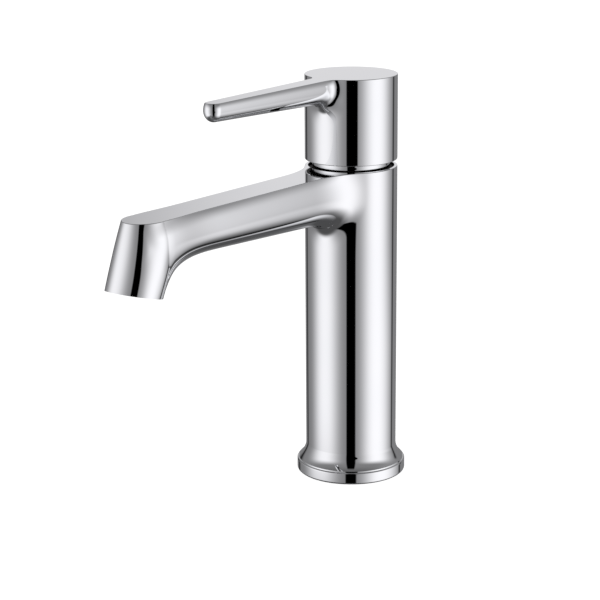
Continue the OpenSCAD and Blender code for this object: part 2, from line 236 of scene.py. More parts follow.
def handle_field(x, y, z):
    v = -y
    t = np.clip((v - ROOT_V) / (LEVER_END - ROOT_V), -0.2, 1)
    lever, n_lever = arm(x, v, z, LEVER_END, along(LEVER_HALF_W, t), along(LEVER_WIDEST, t),
                         along(LEVER_DROP, t), along(LEVER_DEPTH, t), TOP)
    r = np.maximum(np.hypot(x, y), 1e-6)
    least, gain, power = LEVER_FILLET
    radius = least + gain * smoothstep((191 - z) / 6)
    return fillet(lever, r - RADIUS, radius, dot(n_lever, (x / r, v / r, 0)), power)


def gradient(field, p, step=0.01):
    """Slope of a field at points, by central differences."""
    parts = []
    for axis in range(3):
        d = np.zeros(3)
        d[axis] = step
        parts.append(field(*(p + d).T) - field(*(p - d).T))
    return np.stack(parts, -1) / (2 * step)


def unit(v):
    return v / np.maximum(np.linalg.norm(v, axis=-1, keepdims=True), 1e-12)


def settle(field, p, rounds=2):
    """Moves points onto the field's zero surface."""
    for _ in range(rounds):
        g = gradient(field, p)
        p = p - (field(*p.T) / np.maximum((g * g).sum(-1), 1e-9))[:, None] * g
    return p


# ---------------------------------------------------------------- level surfaces


def surface_net(field, low, high, step):
    """Points and quads on the field's zero surface inside a box."""
    axes = [np.arange(a, b + step, step) for a, b in zip(low, high)]
    value = field(*np.meshgrid(*axes, indexing="ij"))
    cells = [n - 1 for n in value.shape]
    total = np.zeros(cells + [3])
    count = np.zeros(cells)
    corners = [(i, j, k) for i in (0, 1) for j in (0, 1) for k in (0, 1)]

    def at(corner):
        return value[tuple(slice(c, c + n) for c, n in zip(corner, cells))]

    for a in corners:
        for axis in range(3):
            if a[axis]:
                continue
            b = tuple(c + (axis == i) for i, c in enumerate(a))
            fa, fb = at(a), at(b)
            cross = (fa < 0) != (fb < 0)
            t = np.where(cross, fa / np.where(cross, fa - fb, 1), 0)
            for i in range(3):
                total[..., i] += cross * (a[i] + (t if i == axis else 0))
            count += cross
    live = count > 0
    index = np.full(cells, -1)
    index[live] = np.arange(live.sum())
    points = np.argwhere(live) + total[live] / count[live][:, None]
    points = points * step + np.array([a[0] for a in axes])
    quads = []
    for axis in range(3):
        u, w = [i for i in range(3) if i != axis]
        here = [slice(1, n) for n in cells]
        here[axis] = slice(0, cells[axis])
        there = list(here)
        there[axis] = slice(1, cells[axis] + 1)
        cross = (value[tuple(here)] < 0) != (value[tuple(there)] < 0)
        spots = np.argwhere(cross)
        spots[:, u] += 1
        spots[:, w] += 1
        ring = []
        for du, dw in ((-1, -1), (0, -1), (0, 0), (-1, 0)):
            cell = spots.copy()
            cell[:, u] += du
            cell[:, w] += dw
            ring.append(index[tuple(cell.T)])
        quads.append(np.stack(ring, -1))
    return points, np.concatenate(quads)


def relax(field, points, quads, rounds=6):
    """Evens the net out along the surface."""
    edges = np.concatenate([quads[:, [i, (i + 1) % 4]] for i in range(4)])
    for _ in range(rounds):
        total = np.zeros_like(points)
        count = np.zeros(len(points))
        np.add.at(total, edges[:, 0], points[edges[:, 1]])
        np.add.at(total, edges[:, 1], points[edges[:, 0]])
        np.add.at(count, edges[:, 0], 1)
        np.add.at(count, edges[:, 1], 1)
        points = settle(field, points + 0.5 * (total / count[:, None] - points), 1)
    return settle(field, points, 2)


def cut_skin(field, points, quads, planes, step):
    """Trims a net with planes (point, outward normal).

    Returns the points, the faces and the loop left on each plane.
    """
    for co, no in planes:
        co, no = np.array(co, float), unit(np.array(no, float))
        near = np.abs((points - co) @ no) < 0.4 * step
        p = points[near]
        for _ in range(6):
            p = settle(field, p, 1)
            p = p - ((p - co) @ no)[:, None] * no
        points[near] = p
    bm = bmesh.new()
    verts = [bm.verts.new(p) for p in points]
    for q in quads:
        bm.faces.new([verts[i] for i in q])
    for co, no in planes:
        geom = bm.verts[:] + bm.edges[:] + bm.faces[:]
        bmesh.ops.bisect_plane(bm, geom=geom, dist=1e-4, plane_co=co, plane_no=no,
                               clear_outer=True)
    bmesh.ops.delete(bm, geom=[v for v in bm.verts if not v.link_faces], context="VERTS")
    bm.verts.index_update()
    links = {}
    for e in bm.edges:
        if e.is_boundary:
            a, b = (v.index for v in e.verts)
            links.setdefault(a, []).append(b)
            links.setdefault(b, []).append(a)
    loops = []
    seen = set()
    for start in sorted(links):
        if start in seen:
            continue
        loop = [start]
        seen.add(start)
        while True:
            onward = [i for i in links[loop[-1]] if i not in seen]
            if not onward:
                break
            loop.append(onward[0])
            seen.add(onward[0])
        loops.append(loop)
    points = np.array([v.co for v in bm.verts])
    faces = [[v.index for v in f.verts] for f in bm.faces]
    bm.free()
    found = []
    for co, no in planes:
        co, no = np.array(co, float), unit(np.array(no, float))
        flat = [p for p in loops if np.abs((points[p] - co) @ no).max() < 2e-3]
        found.append(max(flat, key=len))
    return points, faces, found


# ---------------------------------------------------------------- mesh building


class Shell:
    """Points, faces and a normal for each face corner: flats stay flat and curves stay smooth."""

    def __init__(self):
        self.points, self.faces, self.normals = [], [], []

    def add(self, points):
        first = len(self.points)
        self.points.extend(np.asarray(points, float).tolist())
        return list(range(first, len(self.points)))

    def face(self, index, normals):
        p = np.array([self.points[i] for i in index])
        normals = [np.asarray(n, float) for n in normals]
        turned = np.zeros(3)
        for i in range(1, len(p) - 1):
            turned += np.cross(p[i] - p[0], p[i + 1] - p[0])
        if turned @ sum(normals) < 0:
            index, normals = index[::-1], normals[::-1]
        self.faces.append(list(index))
        self.normals.append(normals)

    def skin(self, points, faces, normals):
        index = np.array(self.add(points))
        for f in faces:
            self.face([int(index[i]) for i in f], [normals[i] for i in f])
        return index

    def band(self, a, b, n_a, n_b):
        """Quads between two rings of the same length."""
        for i in range(len(a)):
            j = (i + 1) % len(a)
            self.face([a[i], a[j], b[j], b[i]], [n_a[i], n_a[j], n_b[j], n_b[i]])

    def plate(self, outer, holes, normal):
        """Fills a flat ring, round any holes."""
        loops = [outer] + holes
        flat = [i for loop in loops for i in loop]
        turned = Vector(normal).rotation_difference(Vector((0, 0, 1)))
        outlines = [[turned @ Vector(self.points[i]) for i in loop] for loop in loops]
        for tri in tessellate_polygon(outlines):
            self.face([flat[i] for i in tri], [normal] * 3)

    def lathe(self, ring, place, angles, runs, side=1):
        """Turns profile runs of (radius, height) from a ring.

        Each run is smooth, and meets the next at an edge. Returns the last ring.
        """
        place = np.array(place)
        flat = np.stack([np.cos(angles), np.sin(angles)], -1)

        def put(r, h):
            local = np.column_stack([flat * r, np.full(len(flat), h)])
            return local @ place[:3, :3].T + place[:3, 3]

        for run in runs:
            run = np.array(run, float)
            tangent = unit(np.gradient(run, axis=0))
            out = side * np.column_stack([-tangent[:, 1], tangent[:, 0]])
            before = None
            for (r, h), (n_r, n_h) in zip(run, out):
                normals = np.column_stack([flat * n_r, np.full(len(flat), n_h)]) @ place[:3, :3].T
                if before is None:
                    here = ring
                else:
                    here = self.add(put(r, h))
                    self.band(before[0], here, before[1], normals)
                before = (here, normals)
            ring = before[0]
        return ring

    def blind_hole(self, ring, centre, radius, depth, normal, segments):
        """A round hole's wall and end, from a ring on a plate."""
        mouth = np.array([self.points[i] for i in ring])
        deep = self.add(mouth - np.array(normal) * depth)
        inwards = [unit(np.array(centre) - np.array(self.points[i])) for i in ring]
        self.band(ring, deep, inwards, inwards)
        self.face(deep, [normal] * segments)

    def build(self, name, material, body, slot, replaced=()):
        mesh = bpy.data.meshes.new(name)
        mesh.from_pydata([tuple(c * MM for c in p) for p in self.points], [], self.faces)
        corners = [tuple(unit(n)) for face in self.normals for n in face]
        mesh.polygons.foreach_set("use_smooth", [True] * len(mesh.polygons))
        mesh.normals_split_custom_set(corners)
        mesh.materials.append(material)
        piece = bpy.data.objects.new(name, mesh)
        bpy.context.scene.collection.objects.link(piece)
        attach(piece, body)
        if replaced:
            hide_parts(*replaced)
        return piece


def circle(centre, radius, segments):
    """Points of a level circle."""
    a = np.arange(segments) * 2 * math.pi / segments
    x, y, z = centre
    return np.column_stack([x + radius * np.cos(a), y + radius * np.sin(a), np.full(segments, z)])


def straight(*corners):
    """Straight profile runs from corner to corner."""
    return [[a, b] for a, b in zip(corners, corners[1:])]


def flat_edge(shell, loop, field, top, size, steps=4):
    """Rounds a skin's top loop over into a flat top. Returns the ring at the flat."""
    points = np.array([shell.points[i] for i in loop])
    side = gradient(field, points)
    side[:, 2] = 0
    side = unit(side)
    before, n_before = loop, unit(gradient(field, points))
    for i in range(1, steps + 1):
        t = i / steps * math.pi / 2
        moved = points - side * size * (1 - math.cos(t))
        moved[:, 2] = top - size * (1 - math.sin(t))
        here = shell.add(moved)
        normals = side * math.cos(t) + np.array([0, 0, math.sin(t)])
        shell.band(before, here, n_before, normals)
        before, n_before = here, normals
    return before


def ring_angles(points, place=None):
    """Angles of a ring's points round the Z axis, or round the Z axis of a placement."""
    local = np.array(points, float)
    if place is not None:
        local = (local - place[:3, 3]) @ place[:3, :3]
    return np.arctan2(local[:, 1], local[:, 0])


def port_plate(shell, outer, z, normal, ports):
    """Fills a flat ring round blind holes, each (x, y, radius, depth)."""
    rings = [shell.add(circle((x, y, z), r, PORT_SEGMENTS)) for x, y, r, depth in ports]
    shell.plate(outer, rings, normal)
    for ring, (x, y, r, depth) in zip(rings, ports):
        shell.blind_hole(ring, (x, y, z), r, depth, normal, PORT_SEGMENTS)


def skinned(field, low, high, planes, step):
    """A shell with a field's skin, cut by planes of which the last is level across the column.

    Returns the shell, the loop on each plane and the angles round the last loop.
    """
    points, quads = surface_net(field, low, high, step)
    points = relax(field, points, quads)
    points, faces, loops = cut_skin(field, points, quads, planes, step)
    level = planes[-1][0][2]
    angles = ring_angles(points[loops[-1]])
    points[loops[-1]] = np.column_stack([RADIUS * np.cos(angles), RADIUS * np.sin(angles),
                                         np.full(len(angles), level)])
    shell = Shell()
    index = shell.skin(points, faces, unit(gradient(field, points)))
    return shell, [[int(index[i]) for i in loop] for loop in loops], angles


# ---------------------------------------------------------------- materials


def shader(name):
    material = bpy.data.materials.new(name)
    material.use_nodes = True
    tree = material.node_tree
    return material, tree, tree.nodes["Principled BSDF"]


def noise(tree, scale, detail=3, stretch=None):
    coord = tree.nodes.new("ShaderNodeTexCoord")
    node = tree.nodes.new("ShaderNodeTexNoise")
    node.inputs["Scale"].default_value = scale
    node.inputs["Detail"].default_value = detail
    if stretch:
        mapping = tree.nodes.new("ShaderNodeMapping")
        mapping.inputs["Scale"].default_value = stretch
        tree.links.new(coord.outputs["Object"], mapping.inputs["Vector"])
        tree.links.new(mapping.outputs["Vector"], node.inputs["Vector"])
    else:
        tree.links.new(coord.outputs["Object"], node.inputs["Vector"])
    return node.outputs["Fac"]


def spread(tree, value, low, high):
    """Maps a noise onto a range."""
    node = tree.nodes.new("ShaderNodeMapRange")
    node.inputs["From Min"].default_value = 0.3
    node.inputs["From Max"].default_value = 0.7
    node.inputs["To Min"].default_value = low
    node.inputs["To Max"].default_value = high
    tree.links.new(value, node.inputs["Value"])
    return node.outputs["Result"]


def tint(tree, value, a, b):
    """Maps a noise onto two colours."""
    ramp = tree.nodes.new("ShaderNodeValToRGB")
    ramp.color_ramp.elements[0].position = 0.3
    ramp.color_ramp.elements[1].position = 0.7
    ramp.color_ramp.elements[0].color = (*a, 1)
    ramp.color_ramp.elements[1].color = (*b, 1)
    tree.links.new(value, ramp.inputs["Fac"])
    return ramp.outputs["Color"]


def bump(tree, bsdf, value, strength, distance):
    node = tree.nodes.new("ShaderNodeBump")
    node.inputs["Strength"].default_value = strength
    node.inputs["Distance"].default_value = distance
    tree.links.new(value, node.inputs["Height"])
    tree.links.new(node.outputs["Normal"], bsdf.inputs["Normal"])


def surface(name, dark, light, rough, metallic=0.0, scale=400.0, relief=0.1, depth=2e-5,
            stretch=None):
    """A finish with its own fine colour change, gloss change and relief."""
    material, tree, bsdf = shader(name)
    bsdf.inputs["Metallic"].default_value = metallic
    colour = tint(tree, noise(tree, scale * 0.15, 4, stretch), dark, light)
    tree.links.new(colour, bsdf.inputs["Base Color"])
    gloss = spread(tree, noise(tree, scale * 0.4, 5, stretch), *rough)
    tree.links.new(gloss, bsdf.inputs["Roughness"])
    bump(tree, bsdf, noise(tree, scale, 4, stretch), relief, depth)
    return material


def plated(name):
    """Bright chrome plate."""
    return surface(name, (0.925, 0.935, 0.95), (0.945, 0.95, 0.96), (0.012, 0.035),
                   metallic=1.0, scale=260, relief=0.03, depth=4e-6)


MATERIALS = {
    "chrome_plate": plated("chrome_plate"),
    "chrome_trim": surface("chrome_trim", (0.92, 0.93, 0.945), (0.94, 0.95, 0.96), (0.02, 0.05),
                           metallic=1.0, scale=500, relief=0.04, depth=4e-6),
    "raw_brass": surface("raw_brass", (0.66, 0.45, 0.19), (0.80, 0.58, 0.27), (0.22, 0.42),
                         metallic=1.0, scale=900, relief=0.3, depth=1e-5, stretch=(1, 1, 14)),
    "steel": surface("steel", (0.50, 0.51, 0.52), (0.62, 0.63, 0.64), (0.2, 0.38),
                     metallic=1.0, scale=1200, relief=0.25, depth=8e-6),
    "disc_ceramic": surface("disc_ceramic", (0.80, 0.79, 0.74), (0.88, 0.87, 0.83), (0.12, 0.22),
                            scale=1500, relief=0.1, depth=4e-6),
    "grey_plastic": surface("grey_plastic", (0.33, 0.345, 0.36), (0.40, 0.41, 0.425), (0.36, 0.5),
                            scale=1800, relief=0.3, depth=1.2e-5),
    "white_plastic": surface("white_plastic", (0.78, 0.79, 0.80), (0.86, 0.86, 0.87), (0.34, 0.46),
                             scale=1800, relief=0.25, depth=1.2e-5),
    "red_plastic": surface("red_plastic", (0.42, 0.045, 0.035), (0.52, 0.07, 0.05), (0.35, 0.48),
                           scale=1800, relief=0.25, depth=1.2e-5),
    "seal_rubber": surface("seal_rubber", (0.018, 0.018, 0.019), (0.034, 0.034, 0.036), (0.55, 0.75),
                           scale=2200, relief=0.5, depth=2e-5),
}

# painted shade: a near-black colour and roughness put inside recesses where shade falls
PAINTED_SHADE_COLOUR = (0.035, 0.033, 0.03, 1)
PAINTED_SHADE_ROUGH = 0.55


def paint_shade_inside(material, radius, low, high):
    """Paints shade: everything within a radius and between two heights gets a near-black, rough colour that stands
    in for the shade inside recesses.
    """
    tree = material.node_tree
    bsdf = tree.nodes["Principled BSDF"]
    coord = tree.nodes.new("ShaderNodeTexCoord")
    split = tree.nodes.new("ShaderNodeSeparateXYZ")
    flat = tree.nodes.new("ShaderNodeVectorMath")
    flat.operation = "MULTIPLY"
    flat.inputs[1].default_value = (1, 1, 0)
    span = tree.nodes.new("ShaderNodeVectorMath")
    span.operation = "LENGTH"
    tree.links.new(coord.outputs["Object"], flat.inputs[0])
    tree.links.new(flat.outputs[0], span.inputs[0])
    tree.links.new(coord.outputs["Object"], split.inputs[0])
    result = None
    for value, kind, limit in ((span.outputs["Value"], "LESS_THAN", radius * MM),
                               (split.outputs[2], "GREATER_THAN", low * MM),
                               (split.outputs[2], "LESS_THAN", high * MM)):
        test = tree.nodes.new("ShaderNodeMath")
        test.operation = kind
        tree.links.new(value, test.inputs[0])
        test.inputs[1].default_value = limit
        if result is not None:
            both = tree.nodes.new("ShaderNodeMath")
            both.operation = "MULTIPLY"
            tree.links.new(result, both.inputs[0])
            tree.links.new(test.outputs[0], both.inputs[1])
            test = both
        result = test.outputs[0]
    # painted shade mixed over the chrome's colour and roughness inside the mask
    for socket, shade_value in (("Base Color", PAINTED_SHADE_COLOUR), ("Roughness", PAINTED_SHADE_ROUGH)):
        mix = tree.nodes.new("ShaderNodeMix")
        mix.data_type = "RGBA" if socket == "Base Color" else "FLOAT"
        before, after, out = (6, 7, 2) if socket == "Base Color" else (2, 3, 0)
        tree.links.new(bsdf.inputs[socket].links[0].from_socket, mix.inputs[before])
        mix.inputs[after].default_value = shade_value
        tree.links.new(result, mix.inputs[0])
        tree.links.new(mix.outputs[out], bsdf.inputs[socket])


# painted shade inside the handle's skirt, ceiling and boss
HANDLE_CHROME_SHADED_INSIDE = plated("handle_chrome_painted_shade")
paint_shade_inside(HANDLE_CHROME_SHADED_INSIDE, 21.6, 150, 195)
# painted shade inside the body's groove, counterbore and chamber
BODY_CHROME_SHADED_INSIDE = plated("body_chrome_painted_shade")
paint_shade_inside(BODY_CHROME_SHADED_INSIDE, GROOVE_R + 0.02, 100, RIM - 0.05)

for part in frame["record"]["subparts"]:
    mesh = frame["nodes"][part["node"]].data
    mesh.materials.clear()
    mesh.materials.append(MATERIALS[part["material_slot"]])

# ---------------------------------------------------------------- body

outlet_axis = np.array(Matrix.Translation((0, -REACH, OUTLET_Z))
                       @ Matrix.Rotation(-OUTLET_TILT, 4, "X"))
rim_down = -outlet_axis[:3, 2]
shell, (top_loop, nose_loop, low_loop), low_a = skinned(
    body_field, (-28, -REACH - 16, BODY_SKIN_LOW - 3), (28, 28, RIM + 2),
    [((0, 0, RIM - EDGE), (0, 0, 1)), ((0, -REACH, OUTLET_Z), rim_down),
     ((0, 0, BODY_SKIN_LOW), (0, 0, -1))], BODY_STEP)

# flat top with the counterbore and the stepped chamber under the cartridge
rim_ring = flat_edge(shell, top_loop, body_field, RIM, EDGE)
turn = np.arange(SEGMENTS) * 2 * math.pi / SEGMENTS
upright = np.eye(4)
mouth = shell.add(circle((0, 0, RIM), GROOVE_R, SEGMENTS))
shell.plate(rim_ring, [mouth], (0, 0, 1))
bottom = shell.lathe(mouth, upright, turn, straight(
    (GROOVE_R, RIM), (GROOVE_R, GROOVE_Z), (COUNTERBORE_R, GROOVE_Z),
    (COUNTERBORE_R, COUNTERBORE_Z), (NUT_R, COUNTERBORE_Z), (NUT_R, NUT_Z), (CHAMBER_R, NUT_Z),
    (CHAMBER_R, CHAMBER_FLOOR)), side=-1)
port_plate(shell, bottom, CHAMBER_FLOOR, (0, 0, 1), CHAMBER_PORTS)

# outlet: rim face, mouth and the bore that holds the aerator
nose_a = ring_angles(np.array([shell.points[i] for i in nose_loop]), outlet_axis)
deep = shell.lathe(nose_loop, outlet_axis, nose_a, straight(
    (OUTLET_R, 0), (MOUTH_R + MOUTH_CHAMFER, 0), (MOUTH_R, MOUTH_CHAMFER), (MOUTH_R, MOUTH_DEPTH),
    (AERATOR_R, MOUTH_DEPTH), (AERATOR_R, AERATOR_DEPTH), (WATERWAY_R, AERATOR_DEPTH),
    (WATERWAY_R, WATERWAY_DEPTH)))
shell.face(deep, [rim_down] * len(deep))

# column, flare, flange and hollow, turned from the skin's lower edge
flare_drop = math.sqrt(FLARE_R ** 2 - (FLARE_R - FLARE_REACH) ** 2)
flare_top = FLANGE_BAND + flare_drop + FLARE_LIFT
flare = [(RADIUS + FLARE_R * (1 - math.cos(t)), flare_top - FLARE_R * math.sin(t))
         for t in np.linspace(0, math.asin(flare_drop / FLARE_R), 19)]
lip = [(FLANGE_R - LIP_ROUND * (1 - math.cos(t)), FLANGE_BAND - LIP_ROUND * (1 - math.sin(t)))
       for t in np.radians(np.linspace(90, 0, 7))]
foot = [(FLANGE_R - FOOT_ROUND * (1 - math.cos(t)), FOOT_ROUND * (1 - math.sin(t)))
        for t in np.radians(np.linspace(0, 90, 9))]
column = [(RADIUS, z) for z in np.linspace(BODY_SKIN_LOW, flare_top, 12)]
outer_r, inner_r = GASKET_R
hollow = shell.lathe(low_loop, upright, low_a, [
    column[:-1] + flare, [flare[-1], (FLANGE_R - LIP_ROUND, FLANGE_BAND)], lip + foot,
    *straight((FLANGE_R - FOOT_ROUND, 0), (outer_r, 0), (outer_r, GASKET_DEPTH),
              (inner_r, GASKET_DEPTH), (inner_r, 0), (HOLLOW_R + HOLLOW_CHAMFER, 0),
              (HOLLOW_R, HOLLOW_CHAMFER)),
    [(HOLLOW_R, HOLLOW_CHAMFER), (HOLLOW_R, HOLLOW_MIDDLE), (HOLLOW_R, HOLLOW_TOP)]])
port_plate(shell, hollow, HOLLOW_TOP, (0, 0, -1), HOLLOW_PORTS)
shell.build("mixer_body", BODY_CHROME_SHADED_INSIDE, "fixed", "chrome_plate", ["body"])

# ---------------------------------------------------------------- handle and lever

shell, (top_loop, low_loop), low_a = skinned(
    handle_field, (-26, -LEVER_REACH - 3, HANDLE_SKIN_LOW - 3), (26, 26, TOP + 2),
    [((0, 0, TOP - EDGE), (0, 0, 1)), ((0, 0, HANDLE_SKIN_LOW), (0, 0, -1))], HANDLE_STEP)
top_ring = flat_edge(shell, top_loop, handle_field, TOP, EDGE)

# the flat top is filled in two halves, so that the lever's half can fall towards the tip
ring = np.array([shell.points[i] for i in top_ring])
beside = [int(np.argmin(np.abs(ring[:, 1] + ROOT_V) + 99 * (side * ring[:, 0] < 0)))
          for side in (-1, 1)]
first, second = sorted(beside)
halves = [top_ring[first:second + 1], top_ring[second:] + top_ring[:first + 1]]
for half in halves:
    shell.plate(half, [], (0, 0, 1))


def let_fall(shell, slope):
    """Slopes everything beyond the lever's root gently down towards the tip."""
    for p in shell.points:
        p[2] -= slope * max(-p[1] - ROOT_V, 0)
    for face, normals in zip(shell.faces, shell.normals):
        if np.mean([shell.points[i][1] for i in face]) < -ROOT_V:
            for n in normals:
                n[1] -= slope * n[2]


shell.normals = [[n.copy() for n in face] for face in shell.normals]
let_fall(shell, LEVER_FALL / (LEVER_END - ROOT_V))


def skirt_edge(y):
    """Height of the skirt's lower edge: level, and cut away at the back so the handle can tip."""
    start = RIM + SKIRT_GAP - PIVOT_Z
    back = y + start * math.sin(LIFT_MAX)
    rise = PIVOT_Z + start * math.cos(LIFT_MAX) + back * math.tan(LIFT_MAX)
    return np.maximum(SKIRT_BOTTOM, rise)


def skirt_ring(shell, angles, r, lift):
    """A ring that follows the skirt's lower edge."""
    x, y = r * np.cos(angles), r * np.sin(angles)
    return shell.add(np.column_stack([x, y, skirt_edge(y) + lift]))


out = np.column_stack([np.cos(low_a), np.sin(low_a), np.zeros(len(low_a))])
down = np.array([0, 0, -1.0])
before, n_before = low_loop, out
for z in (169, 165):
    here = shell.add(np.column_stack([RADIUS * out[:, :2], np.full(len(out), z)]))
    shell.band(before, here, out, out)
    before = here
for t in np.radians((0, 30, 60, 90)):
    here = skirt_ring(shell, low_a, RADIUS - SKIRT_ROUND * (1 - math.cos(t)),
                      SKIRT_ROUND * (1 - math.sin(t)))
    normals = out * math.cos(t) + down * math.sin(t)
    shell.band(before, here, n_before, normals)
    before, n_before = here, normals
inner = skirt_ring(shell, low_a, SKIRT_INNER_R, 0)
shell.band(before, inner, [down] * len(out), [down] * len(out))
ceiling = np.column_stack([SKIRT_INNER_R * out[:, :2], np.full(len(out), CEILING_Z)])
ceiling = shell.add(ceiling)
shell.band(inner, ceiling, -out, -out)
boss = shell.lathe(ceiling, upright, low_a,
                   straight((SKIRT_INNER_R, CEILING_Z), (BOSS_R, CEILING_Z), (BOSS_R, BOSS_Z)))
half_x, half_y = SOCKET_HALF
corners = [(half_x, half_y), (-half_x, half_y), (-half_x, -half_y), (half_x, -half_y)]
socket = shell.add([(x, y, BOSS_Z) for x, y in corners])
shell.plate(boss, [socket], (0, 0, -1))
roof = shell.add([(x, y, SOCKET_TOP) for x, y in corners])
for i, normal in enumerate(((0, -1, 0), (1, 0, 0), (0, 1, 0), (-1, 0, 0))):
    j = (i + 1) % 4
    shell.face([socket[i], socket[j], roof[j], roof[i]], [normal] * 4)
shell.face(roof, [(0, 0, -1)] * 4)
shell.build("lever_handle", HANDLE_CHROME_SHADED_INSIDE, "lever", "chrome_plate", ["handle"])

# ---------------------------------------------------------------- small visible pieces

# chromed cover over the cartridge nut: barrel-shaped below the pivot and ball-shaped above it
BALL_R = 19
COVER_HOLE_R = 14
COVER_TOP = 167.8
COVER_FOOT_R = 18.4
BARREL_MIDDLE = 156.7
BARREL_HALF = 3.3
BARREL_FALL = 0.5
OUTSIDE_RISE = 5.8
INSIDE_RISE = 5.1


def ball_run(radius, start, stop, steps):
    """Profile of a ball round the pivot, between two angles above it."""
    return [(radius * math.cos(t), PIVOT_Z + radius * math.sin(t))
            for t in np.linspace(start, stop, steps)]


trim = Shell()
ball = ball_run(BALL_R, math.asin(OUTSIDE_RISE / BALL_R), 0, 9)
inner_ball = ball_run(NUT_R, 0, math.asin(INSIDE_RISE / NUT_R), 7)
barrel = [(BALL_R - BARREL_FALL * ((z - BARREL_MIDDLE) / BARREL_HALF) ** 2, z)
          for z in np.linspace(160, 153.4, 13)]
start = trim.add(circle((0, 0, COVER_TOP), COVER_HOLE_R, SEGMENTS))
last = trim.lathe(start, upright, turn, [
    [(COVER_HOLE_R, COVER_TOP), ball[0]], ball, [ball[-1], barrel[0]], barrel,
    [barrel[-1], (COVER_FOOT_R, COUNTERBORE_Z)],
    [(COVER_FOOT_R, COUNTERBORE_Z), (NUT_R, COUNTERBORE_Z)],
    [(NUT_R, COUNTERBORE_Z), (NUT_R, 158)] + inner_ball,
    [inner_ball[-1], (COVER_HOLE_R, PIVOT_Z + INSIDE_RISE)]])
wall = np.column_stack([-np.cos(turn), -np.sin(turn), np.zeros(SEGMENTS)])
trim.band(last, start, wall, wall)
trim.build("trim_cover", MATERIALS["chrome_trim"], "fixed", "chrome_trim", ["trim_ring"])

# index cap at the back of the handle: a low dome of rings (radius, height above the skirt),
# with how far the normals of each ring lean backwards
SCREW_Z = 179
CAP_RINGS = ((2.95, -1.2), (2.95, 0.05), (2.85, 0.2), (2.6, 0.3), (1.7, 0.36), (0.8, 0.39))
CAP_LEAN = (0, 0, 0.5, 0.85, 0.97, 0.99)

cap = Shell()
coarse = turn[::3]
ids = []
for radius, lift in CAP_RINGS:
    x = radius * np.cos(coarse)
    z = SCREW_Z + radius * np.sin(coarse)
    ids.append(cap.add(np.column_stack([x, np.sqrt(RADIUS ** 2 - x * x) + lift, z])))
radial = np.column_stack([np.cos(coarse), np.zeros(len(coarse)), np.sin(coarse)])
back = np.array([0, 1.0, 0])
for i in range(len(ids) - 1):
    n_a, n_b = (radial if i == 0 else unit(radial * (1 - lean) + back * lean)
                for lean in CAP_LEAN[i:i + 2])
    cap.band(ids[i], ids[i + 1], n_a, n_b)
cap.face(ids[-1], [back] * len(coarse))
cap.face(ids[0], [-back] * len(coarse))
cap.build("index_cap", MATERIALS["grey_plastic"], "lever", "grey_plastic", ["index_plug"])

# ---------------------------------------------------------------- studio

# in metres
FLOOR_R = 12
FLOOR_Z = -0.0002
BACKDROP_R = 20
DOME_R = 0.72
DOME_Z = 0.1

CAMERA_AZIMUTH = math.radians(36.5)


def plain(name, colour, glow):
    """A matt surface that also glows evenly."""
    material, tree, bsdf = shader(name)
    bsdf.inputs["Base Color"].default_value = (*colour, 1)
    bsdf.inputs["Roughness"].default_value = 0.9
    bsdf.inputs["Specular IOR Level"].default_value = 0.0
    bsdf.inputs["Emission Color"].default_value = (1, 1, 1, 1)
    bsdf.inputs["Emission Strength"].default_value = glow
    return material


def disc(name, radius, z, material):
    """A level stage disc."""
    bm = bmesh.new()
    bmesh.ops.create_circle(bm, cap_ends=True, segments=96, radius=radius)
    mesh = bpy.data.meshes.new(name)
    bm.to_mesh(mesh)
    bm.free()
    mesh.materials.append(material)
    made = bpy.data.objects.new(name, mesh)
    made.location.z = z
    bpy.context.scene.collection.objects.link(made)
    return made


def sphere(name, radius, rings, z, material):
    """A sphere that faces inwards."""
    bm = bmesh.new()
    bmesh.ops.create_uvsphere(bm, u_segments=2 * rings, v_segments=rings, radius=radius)
    bmesh.ops.reverse_faces(bm, faces=bm.faces)
    mesh = bpy.data.meshes.new(name)
    bm.to_mesh(mesh)
    bm.free()
    mesh.materials.append(material)
    made = bpy.data.objects.new(name, mesh)
    made.location.z = z
    bpy.context.scene.collection.objects.link(made)
    return made


def hide_from(piece, *paths):
    for path in paths:
        setattr(piece, "visible_" + path, False)


floor = disc("studio_floor", FLOOR_R, FLOOR_Z, plain("floor_white", (0.8, 0.8, 0.8), 0.85))
hide_from(floor, "glossy")
backdrop = sphere("studio_backdrop", BACKDROP_R, 32, 0, plain("backdrop_white", (0, 0, 0), 1.0))
hide_from(backdrop, "glossy", "diffuse", "transmission", "shadow", "volume_scatter")

world = bpy.data.worlds.new("studio")
bpy.context.scene.world = world
world.use_nodes = True
world.node_tree.nodes["Background"].inputs["Color"].default_value = (1, 1, 1, 1)
world.node_tree.nodes["Background"].inputs["Strength"].default_value = 0.35
world.cycles_visibility.glossy = False

# light dome that only the polished surfaces see
dome_material = bpy.data.materials.new("dome_light")
dome_material.use_nodes = True
dome_material.cycles.emission_sampling = "NONE"
dome = sphere("light_dome", DOME_R, 48, DOME_Z, dome_material)
hide_from(dome, "camera", "diffuse", "transmission", "shadow", "volume_scatter")
tree = dome_material.node_tree
tree.nodes.clear()
lamp = tree.nodes.new("ShaderNodeEmission")
result = tree.nodes.new("ShaderNodeOutputMaterial")
tree.links.new(lamp.outputs[0], result.inputs["Surface"])


def math_node(kind, *values):
    """A sum worked out in the dome's shader, from sockets and numbers."""
    node = tree.nodes.new("ShaderNodeMath")
    node.operation = kind
    for socket, value in zip(node.inputs, values):
        if isinstance(value, (int, float)):
            socket.default_value = value
        else:
            tree.links.new(value, socket)
    return node.outputs[0]


